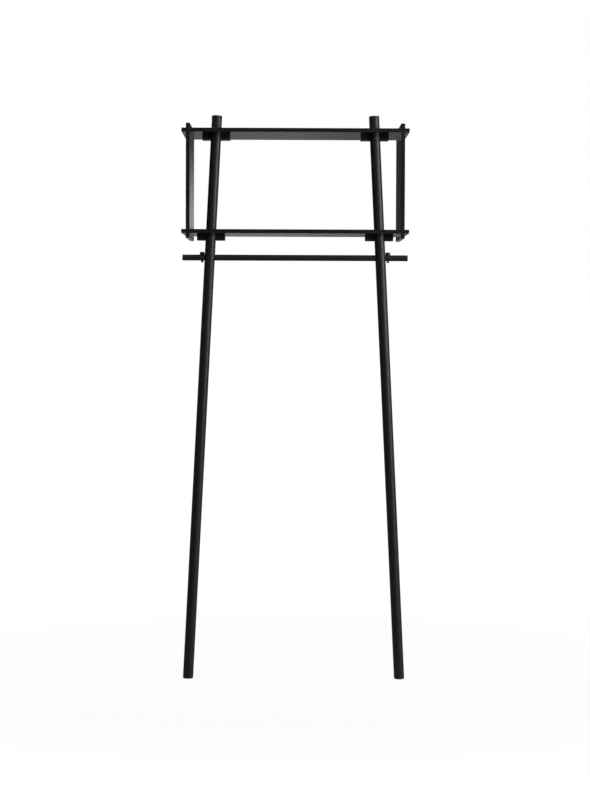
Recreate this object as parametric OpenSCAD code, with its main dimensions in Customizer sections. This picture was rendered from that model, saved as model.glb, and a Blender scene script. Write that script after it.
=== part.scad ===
// Kimono stand. Two splayed poles carry a slim open box of lap-jointed boards near
// their tops and a hanging rod right under it. The rear edges of the box rest on a wall.
// Millimetres, Z up. X runs along the shelves and +Y points at the wall.
// The origin lies on the floor, in the middle of the footprint.

/* [Box] */
// Length of both shelves
shelf_w = 684; // [560:1:900]
// Depth of the shelves and side panels, front to wall
box_d = 320; // [220:1:400]
// Thickness of every board
board_t = 12; // [9:0.5:18]
// Height of the bottom shelf's top face above the floor
shelf_h = 1350; // [1200:1:1500]
// Distance from one shelf to the other, top face to top face
shelf_pitch = 303; // [200:1:360]
// How far a shelf end sticks out past the side panel
shelf_over = 13.5; // [8:0.5:30]
// How far a side panel sticks out past the shelf's face
panel_over = 14.5; // [8:0.5:30]
// Bevel along the edges of the boards
board_bevel = 0.8; // [0.3:0.1:2]
// Play on each side of a board in its lap slot
lap_fit = 0.1; // [0.05:0.05:0.5]

/* [Legs] */
// Diameter of the legs
leg_d = 31; // [26:0.5:36]
// Distance from the side panel's inner face to the leg's axis, at the top shelf's top face
leg_bay = 78.5; // [70:0.5:110]
// Outward splay of each leg, in degrees
leg_splay = 2.76; // [0:0.01:4]
// Backward lean of the legs, in degrees
leg_lean = 2; // [0:0.1:4]
// Distance from the bottom shelf's front edge to the leg's axis, at the shelf's underside
leg_inset = 28; // [24:0.5:50]
// Height of the leg's end above the top shelf
leg_rise = 39; // [20:1:80]
// Height of the seam between the lower and the upper leg
seam_h = 895; // [600:1:1100]
// Bevel on the leg's ends at the seam
seam_bevel = 1.2; // [0.5:0.1:3]
// Bevel on the leg's top end
top_bevel = 1.5; // [0.5:0.1:4]
// Play all round the leg where it passes a board or a block
leg_fit = 0.3; // [0.2:0.05:0.8]

/* [Leg joint] */
// Diameter of the steel stud that joins the two halves of a leg
stud_d = 10; // [6:0.5:12]
// How deep the stud sits in each half
stud_bite = 35; // [20:1:60]
// Outer diameter of the brass sleeve that the stud screws into
sleeve_d = 14; // [13:0.5:18]
// Length of the brass sleeve
sleeve_l = 32; // [16:1:50]
// Bevel on the ends of the stud and of the bolts
stud_bevel = 1; // [0.3:0.1:2]

/* [Feet] */
// Diameter of the rubber pads under the legs
pad_d = 27; // [16:0.5:29]
// Thickness of the rubber pads
pad_t = 2; // [1:0.5:5]
// Bevel round the pads' lower rim
pad_bevel = 0.5; // [0.2:0.1:0.9]

/* [Leg blocks] */
// Width of the blocks behind the legs
block_w = 84; // [60:1:110]
// Depth of the blocks, from the leg's axis backwards
block_d = 60; // [50:1:80]
// Height of the blocks
block_h = 20.5; // [16:0.5:40]
// Bevel along the edges of the blocks
block_bevel = 0.8; // [0.3:0.1:2]
// Distance of the block's screws from its side faces
screw_side = 13; // [8:0.5:18]
// Distance of the block's screws from its rear face
screw_rear = 22; // [10:0.5:34]

/* [Wood screws] */
// Diameter of the wood screws
screw_d = 4; // [3:0.5:5]
// Diameter of the wood screws' countersunk heads
screw_head_d = 8; // [7:0.5:10]
// Height of the countersunk heads
screw_head_h = 2.6; // [2:0.1:4]
// How deep the wood screws bite into a shelf
screw_bite = 8; // [5:0.5:8.5]

/* [Leg bolts] */
// Diameter of the bolts that pull the legs into the blocks
bolt_d = 6; // [4:0.5:8]
// Diameter of the bolt heads
bolt_head_d = 10; // [9:0.5:13]
// Height of the bolt heads
bolt_head_h = 6; // [3:0.5:8]
// Wood left between the leg's groove and the bolt head
bolt_web = 18; // [8:0.5:24]
// Outer diameter of the brass inserts in the legs
insert_d = 9; // [8.5:0.5:11]
// Length of the brass inserts
insert_l = 11; // [6:0.5:12]
// How deep the brass inserts lie under the leg's surface
insert_sink = 1; // [0.5:0.5:2]
// Play round a screw, a bolt or a threaded insert in the wood
hole_fit = 0.1; // [0.05:0.05:0.4]
// Play round a bolt head in its counterbore
head_fit = 0.5; // [0.2:0.1:2]

/* [Hanging rod] */
// Diameter of the hanging rod
rod_d = 18; // [12:0.5:20]
// How far the hanging rod sticks out past the legs' axes
rod_over = 82.3; // [40:0.1:120]
// Height of the hanging rod's axis above the floor
rod_h = 1265; // [1150:1:1290]
// Bevel on the ends of the hanging rod
rod_bevel = 1; // [0.3:0.1:3]
// Play all round the hanging rod in the legs
rod_fit = 0.1; // [0.05:0.05:0.1]

/* [Locking pins] */
// Diameter of the locking pins
pin_d = 7.5; // [4:0.5:9]
// Diameter of the locking pins' heads
pin_head_d = 14.5; // [10:0.5:16]
// Height of the locking pins' heads
pin_head_h = 8; // [3:0.5:10]
// How far the locking pins stick out under the rod
pin_tip = 5.5; // [3:0.5:12]
// Bevel on the locking pins' heads and tips
pin_bevel = 0.8; // [0.3:0.1:1.2]
// Play all round the locking pins in the rod
pin_fit = 0.1; // [0.05:0.05:0.1]
// Room between the leg and the underside of a pin's head
pin_room = 0.3; // [0.2:0.1:3]

/* [Wall brackets] */
// Distance of the wall brackets from the legs' axes, towards the middle
bracket_in = 38; // [24:1:100]
// Width of the wall brackets
bracket_w = 22; // [14:1:40]
// Thickness of the brackets' steel
bracket_t = 2; // [1.5:0.5:3]
// Length of the bracket's leaf on the shelf
bracket_leaf = 30; // [24:1:60]
// Height of the bracket's leaf on the wall
bracket_rise = 22; // [18:1:30]
// Distance from the wall to the bracket's wood screw
bracket_screw_y = 18; // [14:0.5:20]
// Diameter of the holes for the wall screws
wall_hole_d = 5; // [3:0.5:8]
// Height of the holes for the wall screws above the top shelf
wall_hole_h = 13; // [10:0.5:14]
// Diameter of the pan heads on the brackets' wood screws
pan_head_d = 8; // [7:0.5:10]
// Height of the pan heads
pan_head_h = 2.4; // [2:0.1:4]

/* [Hidden] */

LEFT = -1;
RIGHT = 1;
SIDES = [LEFT, RIGHT];

// Facets round the large and the small turned shapes
fine = 96;
small = 48;
// Extra length of a cutting tool past the face that it leaves
past = 1;

black_lacquer = [0.07, 0.065, 0.065];
black_stain = [0.10, 0.09, 0.085];
black_steel = [0.05, 0.05, 0.055];
zinc = [0.62, 0.64, 0.66];
brass = [0.72, 0.58, 0.30];
rubber = [0.03, 0.03, 0.03];

// Cross slots: their length and depth as shares of the head's diameter and height
slot_span = 0.6;
slot_depth = 0.6;
// Width of a cross slot as a share of its length
slot_width = 0.2;

leg_r = leg_d / 2;
rod_r = rod_d / 2;
screw_tip_r = screw_d / 8;

// Faces of the box, from the floor up
top_face = shelf_h + shelf_pitch;
shelf_faces = [top_face, shelf_h];
low_under = shelf_h - board_t;
panel_bottom = low_under - panel_over;
panel_top = top_face + panel_over;
panel_x = shelf_w / 2 - shelf_over - board_t / 2;

// Distance from the middle to the leg's axis at the top shelf's top face
leg_x_top = panel_x - board_t / 2 - leg_bay;
// Slope of a leg's axis per millimetre of height: inwards along X and backwards along Y
leg_in = tan(leg_splay);
leg_back = tan(leg_lean) / cos(leg_splay);
// Height gained per millimetre along the leg
leg_up = cos(leg_lean) * cos(leg_splay);

// How far a foot reaches out in front of the box, and the faces that follow from it
foot_reach = (low_under - pad_t) * leg_back + leg_r * sqrt(1 + leg_back * leg_back) - leg_inset;
box_front = (max(foot_reach, 0) - box_d) / 2;
box_back = box_front + box_d;
box_mid = (box_front + box_back) / 2;

// Where the leg's axis is at a height above the floor
function leg_x(side, z) = side * (leg_x_top + (top_face - z) * leg_in);
function leg_y(z) = box_front + leg_inset + (z - low_under) * leg_back;

// Half the length of the hanging rod
rod_half = leg_x(RIGHT, rod_h) + rod_over;
// Locking pins: their distance outside the leg's axis
pin_out = leg_r / cos(leg_splay) - rod_r * leg_in + pin_room + pin_head_d / 2;
pin_l = rod_d + pin_tip;
rod_y = leg_y(rod_h);
function pin_x(side) = leg_x(side, rod_h) + side * pin_out;

// Distance from the middle to each wall bracket
bracket_x = leg_x_top - bracket_in;

// Leg blocks, named by the top face of the shelf that they hang under
function block_top(face) = face - board_t;
function block_y(face) = leg_y(block_top(face) - block_h / 2);
function bolt_z(face) = block_top(face) - block_h / 2;
// Positions along Y, counted backwards from the leg's axis
bolt_seat = leg_r + leg_fit + bolt_web;
bolt_end = leg_r - insert_sink - insert_l;

// ---- Common shapes ----

// A box with all its edges bevelled, from one corner
module bevelled_box(size, bevel) {
    intersection() {
        linear_extrude(size.z)
            bevelled_rectangle(size.x, size.y, bevel);
        translate([0, size.y, 0])
            rotate([90, 0, 0])
                linear_extrude(size.y)
                    bevelled_rectangle(size.x, size.z, bevel);
        rotate([90, 0, 90])
            linear_extrude(size.x)
                bevelled_rectangle(size.y, size.z, bevel);
    }
}

module bevelled_rectangle(w, h, bevel) {
    polygon([
        [bevel, 0], [w - bevel, 0], [w, bevel], [w, h - bevel],
        [w - bevel, h], [bevel, h], [0, h - bevel], [0, bevel]
    ]);
}

// A round bar from z0 to z1 with a bevel on each end
module turned_bar(r, z0, z1, bevel0, bevel1, facets = fine) {
    rotate_extrude($fn = facets)
        polygon([
            [0, z0], [r - bevel0, z0], [r, z0 + bevel0],
            [r, z1 - bevel1], [r - bevel1, z1], [0, z1]
        ]);
}

// A sleeve from z0 to z1
module turned_sleeve(r_out, r_in, z0, z1) {
    rotate_extrude($fn = small)
        polygon([[r_in, z0], [r_out, z0], [r_out, z1], [r_in, z1]]);
}

// Cross slot in a screw's head, cut downwards from z = 0
module cross_slot(head_d, head_h) {
    span = head_d * slot_span;
    width = span * slot_width;
    depth = head_h * slot_depth;
    for (turn = [0, 90])
        rotate([0, 0, turn])
            translate([-span / 2, -width / 2, -depth])
                cube([span, width, depth + past]);
}

// Places its children on a leg's axis: local Z runs up the leg from the floor
module on_leg(side) {
    translate([leg_x(side, 0), leg_y(0), 0])
        rotate([-leg_lean, -side * leg_splay, 0])
            children();
}

// A round core along a leg's axis, between two heights above the floor
module leg_core(side, r, z0, z1) {
    on_leg(side)
        translate([0, 0, z0 / leg_up])
            cylinder(r = r, h = (z1 - z0) / leg_up, $fn = fine);
}

// Places its children where a bolt meets a leg's axis: local Z runs backwards
module on_bolt(side, face) {
    translate([leg_x(side, bolt_z(face)), block_y(face), bolt_z(face)])
        rotate([-90, 0, 0])
            children();
}

// Places its children at each wood screw of a block, on the block's underside
module at_block_screws(side, face) {
    for (end = SIDES)
        translate([
            leg_x(side, bolt_z(face)) + end * (block_w / 2 - screw_side),
            block_y(face) + block_d - screw_rear,
            block_top(face) - block_h
        ])
            children();
}

// Places its children at a bracket's wood screw, on the top shelf's top face
module at_bracket_screw(side) {
    translate([side * bracket_x, box_back - bracket_screw_y, top_face])
        children();
}

// ---- Box ----

module shelf(face) {
    slot_w = board_t + 2 * lap_fit;
    difference() {
        translate([-shelf_w / 2, box_front, face - board_t])
            bevelled_box([shelf_w, box_d, board_t], board_bevel);
        // lap slots, open to the front
        for (side = SIDES)
            translate([side * panel_x - slot_w / 2, box_front - past, face - board_t - past])
                cube([slot_w, box_d / 2 + past + lap_fit, board_t + 2 * past]);
        // slanting holes for the legs
        for (side = SIDES)
            leg_core(side, leg_r + leg_fit, face - 2 * board_t, face + board_t);
        // pilot holes for the block screws
        for (side = SIDES)
            at_block_screws(side, face)
                cylinder(r = screw_d / 2 + hole_fit, h = block_h + screw_bite + hole_fit, $fn = small);
    }
}

module top_shelf() {
    color(black_lacquer)
        difference() {
            shelf(top_face);
            for (side = SIDES)
                at_bracket_screw(side)
                    translate([0, 0, -screw_bite - hole_fit])
                        cylinder(r = screw_d / 2 + hole_fit, h = screw_bite + past, $fn = small);
        }
}

module bottom_shelf() {
    color(black_lacquer)
        shelf(shelf_h);
}

module side_panel(side) {
    slot_h = board_t + 2 * lap_fit;
    color(black_lacquer)
        difference() {
            translate([side * panel_x - board_t / 2, box_front, panel_bottom])
                bevelled_box([board_t, box_d, panel_top - panel_bottom], board_bevel);
            // lap slots, open to the wall
            for (face = shelf_faces)
                translate([side * panel_x - board_t, box_mid - lap_fit, face - board_t - lap_fit])
                    cube([2 * board_t, box_d / 2 + past + lap_fit, slot_h]);
        }
}

// ---- Leg blocks ----

module leg_block(side, face) {
    head_r = screw_head_d / 2;
    color(black_stain)
        difference() {
            translate([
                leg_x(side, bolt_z(face)) - block_w / 2,
                block_y(face),
                block_top(face) - block_h
            ])
                bevelled_box([block_w, block_d, block_h], block_bevel);
            // groove that the leg lies in
            leg_core(side, leg_r + leg_fit, block_top(face) - 2 * block_h, block_top(face) + block_h);
            // hole for the bolt and counterbore for its head
            on_bolt(side, face)
                cylinder(r = bolt_d / 2 + hole_fit, h = block_d + past, $fn = small);
            on_bolt(side, face)
                translate([0, 0, bolt_seat])
                    cylinder(r = bolt_head_d / 2 + head_fit, h = block_d, $fn = small);
            // countersunk holes for the wood screws
            at_block_screws(side, face) {
                translate([0, 0, -past])
                    cylinder(r = screw_d / 2 + hole_fit, h = block_h + 2 * past, $fn = small);
                rotate_extrude($fn = small)
                    polygon([
                        [0, -past], [head_r + hole_fit, -past], [head_r + hole_fit, 0],
                        [screw_d / 2 + hole_fit, screw_head_h], [0, screw_head_h]
                    ]);
            }
        }
}

// Countersunk wood screw, point up, its head flush with z = 0
module wood_screw(reach) {
    r = screw_d / 2;
    color(zinc)
        difference() {
            rotate_extrude($fn = small)
                polygon([
                    [0, 0], [screw_head_d / 2, 0], [r, screw_head_h],
                    [r, reach - r], [screw_tip_r, reach], [0, reach]
                ]);
            rotate([180, 0, 0])
                cross_slot(screw_head_d, screw_head_h);
        }
}

module block_screws() {
    for (side = SIDES)
        for (face = shelf_faces)
            at_block_screws(side, face)
                wood_screw(block_h + screw_bite);
}

// Socket bolt, its head towards +Z
module leg_bolt() {
    socket_r = bolt_d / 2;
    color(black_steel)
        difference() {
            union() {
                translate([0, 0, bolt_seat])
                    turned_bar(bolt_head_d / 2, 0, bolt_head_h, 0, stud_bevel / 2, small);
                turned_bar(bolt_d / 2, bolt_end, bolt_seat + past, stud_bevel, 0, small);
            }
            translate([0, 0, bolt_seat + bolt_head_h / 2])
                cylinder(r = socket_r, h = bolt_head_h, $fn = 6);
        }
}

module leg_bolts() {
    for (side = SIDES)
        for (face = shelf_faces)
            on_bolt(side, face)
                leg_bolt();
}

module leg_inserts() {
    color(brass)
        for (side = SIDES)
            for (face = shelf_faces)
                on_bolt(side, face)
                    turned_sleeve(insert_d / 2, bolt_d / 2 + hole_fit, bolt_end, bolt_end + insert_l);
}

// ---- Legs ----

module upper_leg(side) {
    seam = seam_h / leg_up;
    color(black_stain)
        difference() {
            on_leg(side)
                turned_bar(leg_r, seam, (top_face + leg_rise) / leg_up, seam_bevel, top_bevel);
            // hole for the stud
            on_leg(side)
                translate([0, 0, seam - past])
                    cylinder(r = stud_d / 2 + hole_fit, h = stud_bite + hole_fit + past, $fn = small);
            // hole for the hanging rod
            translate([leg_x(side, rod_h), rod_y, rod_h])
                rotate([0, 90, 0])
                    cylinder(r = rod_r + rod_fit, h = 2 * leg_d, center = true, $fn = fine);
            // holes for the threaded inserts
            for (face = shelf_faces)
                on_bolt(side, face)
                    translate([0, 0, bolt_end - past])
                        cylinder(r = insert_d / 2 + hole_fit, h = leg_d, $fn = small);
        }
}

module lower_leg(side) {
    seam = seam_h / leg_up;
    reach = 2 * leg_d;
    color(black_stain)
        difference() {
            on_leg(side)
                turned_bar(leg_r, -leg_d, seam, 0, seam_bevel);
            // the foot is cut level with the floor
            translate([leg_x(side, 0) - reach, leg_y(0) - reach, pad_t - 2 * reach])
                cube(2 * reach);
            // hole for the sleeve, with room for the stud's end
            on_leg(side)
                translate([0, 0, seam - sleeve_l])
                    cylinder(r = sleeve_d / 2 + hole_fit, h = sleeve_l + past, $fn = small);
            on_leg(side)
                translate([0, 0, seam - max(stud_bite, sleeve_l) - hole_fit])
                    cylinder(r = stud_d / 2 + hole_fit, h = stud_bite, $fn = small);
        }
}

module leg_stud(side) {
    seam = seam_h / leg_up;
    color(zinc)
        on_leg(side)
            turned_bar(stud_d / 2, seam - stud_bite, seam + stud_bite, stud_bevel, stud_bevel, small);
}

module stud_sleeve(side) {
    seam = seam_h / leg_up;
    color(brass)
        on_leg(side)
            turned_sleeve(sleeve_d / 2, stud_d / 2 + hole_fit, seam - sleeve_l, seam - seam_bevel / 2);
}

module foot_pad(side) {
    color(rubber)
        translate([leg_x(side, pad_t), leg_y(pad_t), 0])
            turned_bar(pad_d / 2, 0, pad_t, pad_bevel, 0);
}

// ---- Hanging rod ----

module hanging_rod() {
    color(black_stain)
        difference() {
            translate([0, rod_y, rod_h])
                rotate([0, 90, 0])
                    turned_bar(rod_r, -rod_half, rod_half, rod_bevel, rod_bevel);
            for (side = SIDES)
                translate([pin_x(side), rod_y, rod_h])
                    cylinder(r = pin_d / 2 + pin_fit, h = 2 * rod_d, center = true, $fn = small);
        }
}

module locking_pin(side) {
    color(black_steel)
        translate([pin_x(side), rod_y, rod_h + rod_r])
            union() {
                turned_bar(pin_head_d / 2, 0, pin_head_h, pin_bevel / 2, pin_bevel, small);
                turned_bar(pin_d / 2, -pin_l, pin_bevel, pin_bevel, 0, small);
            }
}

// ---- Wall brackets ----

module wall_bracket(side) {
    hole_x = side * bracket_x;
    color(black_steel)
        difference() {
            translate([hole_x + bracket_w / 2, box_back, top_face])
                rotate([90, 0, -90])
                    bracket_angle();
            translate([hole_x, box_back + past, top_face + wall_hole_h])
                rotate([90, 0, 0])
                    cylinder(r = wall_hole_d / 2, h = bracket_t + 2 * past, $fn = small);
            at_bracket_screw(side)
                translate([0, 0, -past])
                    cylinder(r = screw_d / 2 + hole_fit, h = bracket_t + 2 * past, $fn = small);
        }
}

// Angle section of the bracket: X runs out from the wall, Y up, and it is extruded along its width
module bracket_angle() {
    linear_extrude(bracket_w)
        polygon([
            [0, 0], [bracket_leaf, 0], [bracket_leaf, bracket_t],
            [bracket_t, bracket_t], [bracket_t, bracket_rise], [0, bracket_rise]
        ]);
}

// Pan-head wood screw, point down, its head resting on the bracket's leaf
module pan_screw() {
    r = screw_d / 2;
    crown = pan_head_h / 2;
    difference() {
        rotate_extrude($fn = small)
            polygon([
                [0, -screw_bite], [screw_tip_r, -screw_bite], [r, r - screw_bite],
                [r, bracket_t], [pan_head_d / 2, bracket_t], [pan_head_d / 2, bracket_t + crown],
                [pan_head_d / 2 - crown, bracket_t + pan_head_h], [0, bracket_t + pan_head_h]
            ]);
        translate([0, 0, bracket_t + pan_head_h])
            cross_slot(pan_head_d, pan_head_h);
    }
}

module bracket_screws() {
    color(black_steel)
        for (side = SIDES)
            at_bracket_screw(side)
                pan_screw();
}

// ---- The stand ----

top_shelf();
bottom_shelf();
side_panel(LEFT);  // left_side_panel
side_panel(RIGHT);  // right_side_panel
upper_leg(LEFT);  // left_upper_leg
upper_leg(RIGHT);  // right_upper_leg
lower_leg(LEFT);  // left_lower_leg
lower_leg(RIGHT);  // right_lower_leg
leg_stud(LEFT);  // left_leg_stud
leg_stud(RIGHT);  // right_leg_stud
stud_sleeve(LEFT);  // left_stud_sleeve
stud_sleeve(RIGHT);  // right_stud_sleeve
leg_block(LEFT, top_face);  // top_left_block
leg_block(RIGHT, top_face);  // top_right_block
leg_block(LEFT, shelf_h);  // bottom_left_block
leg_block(RIGHT, shelf_h);  // bottom_right_block
block_screws();
leg_bolts();
leg_inserts();
hanging_rod();
locking_pin(LEFT);  // left_locking_pin
locking_pin(RIGHT);  // right_locking_pin
foot_pad(LEFT);  // left_foot_pad
foot_pad(RIGHT);  // right_foot_pad
wall_bracket(LEFT);  // left_wall_bracket
wall_bracket(RIGHT);  // right_wall_bracket
bracket_screws();
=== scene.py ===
"""Dresses a black kimono stand: lap-jointed boards on two splayed poles, with a hanging rod.

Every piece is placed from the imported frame, in metres, with +Z up and +Y towards the wall.
"""

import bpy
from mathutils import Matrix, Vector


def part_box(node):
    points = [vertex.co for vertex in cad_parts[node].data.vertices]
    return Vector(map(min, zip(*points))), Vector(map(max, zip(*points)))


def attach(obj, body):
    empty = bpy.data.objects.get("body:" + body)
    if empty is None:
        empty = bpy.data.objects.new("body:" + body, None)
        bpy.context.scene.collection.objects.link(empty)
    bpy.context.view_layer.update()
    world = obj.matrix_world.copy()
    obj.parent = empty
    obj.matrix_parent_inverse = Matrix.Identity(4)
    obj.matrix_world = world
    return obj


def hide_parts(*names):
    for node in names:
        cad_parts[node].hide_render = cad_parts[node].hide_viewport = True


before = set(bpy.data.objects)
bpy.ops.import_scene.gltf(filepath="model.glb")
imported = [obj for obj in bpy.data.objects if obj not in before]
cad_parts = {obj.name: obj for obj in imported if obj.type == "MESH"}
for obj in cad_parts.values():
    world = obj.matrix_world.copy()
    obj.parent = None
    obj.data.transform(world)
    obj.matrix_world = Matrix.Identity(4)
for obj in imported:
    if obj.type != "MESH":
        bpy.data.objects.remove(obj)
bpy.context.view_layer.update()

import logging
import math
from dataclasses import dataclass, field
from enum import Enum
from typing import Iterable, Sequence, Union

import bmesh
import bpy
from mathutils import Euler, Matrix, Vector

log = logging.getLogger("kimono_stand")

Number = Union[int, float]
Pair = tuple[float, float]
Triple = tuple[float, float, float]
Shape = bmesh.types.BMesh
Piece = bpy.types.Object
Material = bpy.types.Material

MM = 0.001
WHITE = (1.0, 1.0, 1.0, 1.0)
BACK = Vector((0, 1, 0))
UP = Vector((0, 0, 1))

# steps of a full turn, for what shows and for bores and small hardware
FINE_TURN = 96
PLAIN_TURN = 48

# how close points lie that are one, and the angle from which an edge stays sharp
SAME_POINT = 1e-7
WELD = 2e-6
SAME_PLACE = 1e-6
SHARP = math.radians(32)
FLAT_FACE_WEIGHT = 90

# a screw's cross slot, as shares of its head's radius
SLOT_REACH = 0.6
SLOT_HALF_WIDTH = 0.12
SLOT_DEPTH = 0.38

# a wood screw's blunt point, as a share of its radius
POINT_SHARE = 0.25


class Side(Enum):
    """The two halves of the stand, with the sign of their X."""

    LEFT = -1
    RIGHT = 1

    @property
    def word(self) -> str:
        """The side's name as the nodes write it."""
        return self.name.lower()


class Body(Enum):
    """The rigid bodies of the frame."""

    STAND = "stand"
    ROD = "rod"
    LEFT_PIN = "left_pin"
    RIGHT_PIN = "right_pin"


class Along(Enum):
    """The direction that a board's grain runs in, as a turn that lays Z along it."""

    X = (0.0, math.pi / 2, 0.0)
    Z = (0.0, 0.0, 0.0)


# ---------------------------------------------------------------- shader expressions


class Flow:
    """A shader socket that adds Math nodes when it is used in Python arithmetic."""

    def __init__(self, tree: bpy.types.NodeTree, socket: bpy.types.NodeSocket) -> None:
        """Wraps one output socket.

        Args:
            tree: the node tree that the socket belongs to.
            socket: the output socket.
        """
        self.tree = tree
        self.socket = socket

    def math(self, operation: str, *others: "Flow | Number", swap: bool = False) -> "Flow":
        """Adds a Math node.

        Args:
            operation: the Math node's operation.
            others: the node's other inputs, as flows or numbers.
            swap: True to put this flow second.

        Returns:
            The node's result.
        """
        node = self.tree.nodes.new("ShaderNodeMath")
        node.operation = operation
        terms = [self, *others]
        if swap:
            terms.reverse()
        for slot, term in zip(node.inputs, terms):
            if isinstance(term, Flow):
                self.tree.links.new(term.socket, slot)
            else:
                slot.default_value = float(term)
        return Flow(self.tree, node.outputs[0])

    def __add__(self, other: "Flow | Number") -> "Flow":
        """Sum."""
        return self.math("ADD", other)

    __radd__ = __add__

    def __sub__(self, other: "Flow | Number") -> "Flow":
        """Difference."""
        return self.math("SUBTRACT", other)

    def __rsub__(self, other: Number) -> "Flow":
        """Difference from a number."""
        return self.math("SUBTRACT", other, swap=True)

    def __mul__(self, other: "Flow | Number") -> "Flow":
        """Product."""
        return self.math("MULTIPLY", other)

    __rmul__ = __mul__

    def __truediv__(self, other: "Flow | Number") -> "Flow":
        """Quotient."""
        return self.math("DIVIDE", other)

    def __pow__(self, other: "Flow | Number") -> "Flow":
        """Power."""
        return self.math("POWER", other)

    def __abs__(self) -> "Flow":
        """Absolute value."""
        return self.math("ABSOLUTE")

    def ramp(self, low: Number, high: Number) -> "Flow":
        """Rises smoothly from 0 at low to 1 at high, or falls where low is the larger.

        Args:
            low: the value that gives 0.
            high: the value that gives 1.

        Returns:
            The eased and clamped result.
        """
        node = self.tree.nodes.new("ShaderNodeMapRange")
        node.interpolation_type = "SMOOTHSTEP"
        falling = low > high
        node.inputs["From Min"].default_value = float(min(low, high))
        node.inputs["From Max"].default_value = float(max(low, high))
        node.inputs["To Min"].default_value = 1.0 if falling else 0.0
        node.inputs["To Max"].default_value = 0.0 if falling else 1.0
        self.tree.links.new(self.socket, node.inputs["Value"])
        return Flow(self.tree, node.outputs["Result"])


class Wiring:
    """A node tree that is filled with nodes and flows."""

    def __init__(self, tree: bpy.types.NodeTree) -> None:
        """Takes over a tree and empties it."""
        self.tree = tree
        self.tree.nodes.clear()

    def add(self, kind: str, settings: dict | None = None, inputs: dict | None = None) -> bpy.types.Node:
        """Adds any node.

        Args:
            kind: the node's type, without the "ShaderNode" in front.
            settings: the node's own settings, set first.
            inputs: socket name or number to a flow or a plain value.

        Returns:
            The node.
        """
        made = self.tree.nodes.new("ShaderNode" + kind)
        for key, value in (settings or {}).items():
            setattr(made, key, value)
        for key, value in (inputs or {}).items():
            if isinstance(value, Flow):
                self.tree.links.new(value.socket, made.inputs[key])
            else:
                made.inputs[key].default_value = value
        return made

    def node(self, kind: str, settings: dict | None = None, inputs: dict | None = None,
             output: int | str = 0) -> Flow:
        """Adds any node and takes one of its outputs.

        Args:
            kind: the node's type, without the "ShaderNode" in front.
            settings: the node's own settings.
            inputs: socket name or number to a flow or a plain value.
            output: the output that is wanted.

        Returns:
            The wanted output.
        """
        return Flow(self.tree, self.add(kind, settings, inputs).outputs[output])

    def split(self, coords: Flow) -> tuple[Flow, ...]:
        """The three parts of a vector."""
        parts = self.add("SeparateXYZ", inputs={0: coords}).outputs
        return tuple(Flow(self.tree, part) for part in parts)


class Recipe(Wiring):
    """Builds one node material on a Principled shader."""

    def __init__(self, name: str) -> None:
        """Starts a material.

        Args:
            name: the material's name.
        """
        self.material = bpy.data.materials.new(name)
        self.material.use_nodes = True
        super().__init__(self.material.node_tree)
        self.output = self.add("OutputMaterial")
        self.shader = self.add("BsdfPrincipled")
        self.paint = Flow(self.tree, self.shader.outputs[0])
        self.show(self.paint)

    def show(self, surface: Flow) -> None:
        """Makes a shader the material's surface."""
        self.tree.links.new(surface.socket, self.output.inputs["Surface"])

    def place(self, origin: Iterable[float] = (0, 0, 0), turn: Iterable[float] = (0, 0, 0)) -> Flow:
        """Object coordinates, centred and turned on a piece.

        Args:
            origin: the pattern's centre.
            turn: the pattern's turn, as Euler angles.

        Returns:
            The coordinates, in metres.
        """
        coords = self.node("TexCoord", output="Object")
        inputs = {"Vector": coords, "Location": tuple(origin), "Rotation": tuple(turn)}
        return self.node("Mapping", {"vector_type": "TEXTURE"}, inputs)

    def noise(self, coords: Flow, size: "Triple | float", detail: float = 2.0, rough: float = 0.5) -> Flow:
        """Soft noise around 0.5.

        Args:
            coords: the coordinates, in metres.
            size: how large its features are, along each axis or all round.
            detail: how many finer layers it has.
            rough: how strong each finer layer is.

        Returns:
            The noise.
        """
        sizes = size if isinstance(size, tuple) else (size, size, size)
        inputs = {0: coords, 1: tuple(1 / part for part in sizes)}
        units = self.node("VectorMath", {"operation": "MULTIPLY"}, inputs)
        inputs = {"Vector": units, "Scale": 1.0, "Detail": detail, "Roughness": rough}
        return self.node("TexNoise", inputs=inputs)

    def blend(self, amount: Flow, low: "Triple | Flow", high: "Triple | Flow") -> Flow:
        """Mixes two colours.

        Args:
            amount: 0 for the first colour, 1 for the second.
            low: the first colour.
            high: the second colour.

        Returns:
            The mixed colour.
        """
        inputs = {0: amount}
        for slot, colour in ((6, low), (7, high)):
            inputs[slot] = colour if isinstance(colour, Flow) else (*colour, 1.0)
        return self.node("Mix", {"data_type": "RGBA"}, inputs, 2)

    def bump(self, height: Flow, depth: float) -> Flow:
        """Turns a height into a normal.

        Args:
            height: the height.
            depth: how many metres a height of 1 stands for.

        Returns:
            The bent normal.
        """
        return self.node("Bump", inputs={"Height": height, "Distance": depth, "Strength": 1.0})

    def finish(self, plain: dict[str, Number], **varying: Flow) -> Material:
        """Feeds the shader.

        Args:
            plain: socket name to a value that is the same all over.
            varying: socket name, with underscores for spaces, to a flow.

        Returns:
            The finished material.
        """
        for name, value in plain.items():
            self.shader.inputs[name].default_value = value
        for name, flow in varying.items():
            socket = self.shader.inputs[name.replace("_", " ").title()]
            self.tree.links.new(flow.socket, socket)
        return self.material


# ---------------------------------------------------------------- finishes


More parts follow.
